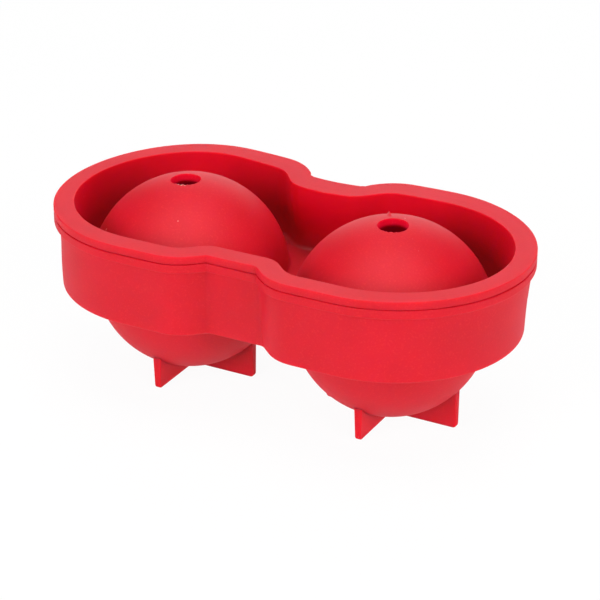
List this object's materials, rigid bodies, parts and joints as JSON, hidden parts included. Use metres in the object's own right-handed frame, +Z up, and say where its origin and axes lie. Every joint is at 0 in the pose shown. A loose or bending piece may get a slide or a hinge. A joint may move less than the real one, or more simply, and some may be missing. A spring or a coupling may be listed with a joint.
{
  "type": "ice ball mold",
  "caption": "Soft silicone mould that freezes round balls of ice: a footed tray of half-round cups under a rimmed filling tray whose domes have pouring holes.",
  "frame": {"origin": "on the resting surface, under the middle of the mould", "axes": "+X along the line of the two cavities, +Y across it, +Z up, out of the filling tray"},
  "size_m": [0.1658, 0.0892, 0.0673],
  "materials": {
    "red_silicone": "matte moulded silicone"
  },
  "bodies": {
    "lower": {"lower_mould": "red_silicone"},
    "upper": {"upper_mould": "red_silicone"}
  },
  "joints": [
    {"name": "upper_lift", "type": "slide", "parent": "lower", "child": "upper", "axis": [0, 0, 1], "range_m": [0, 0.045]}
  ]
}
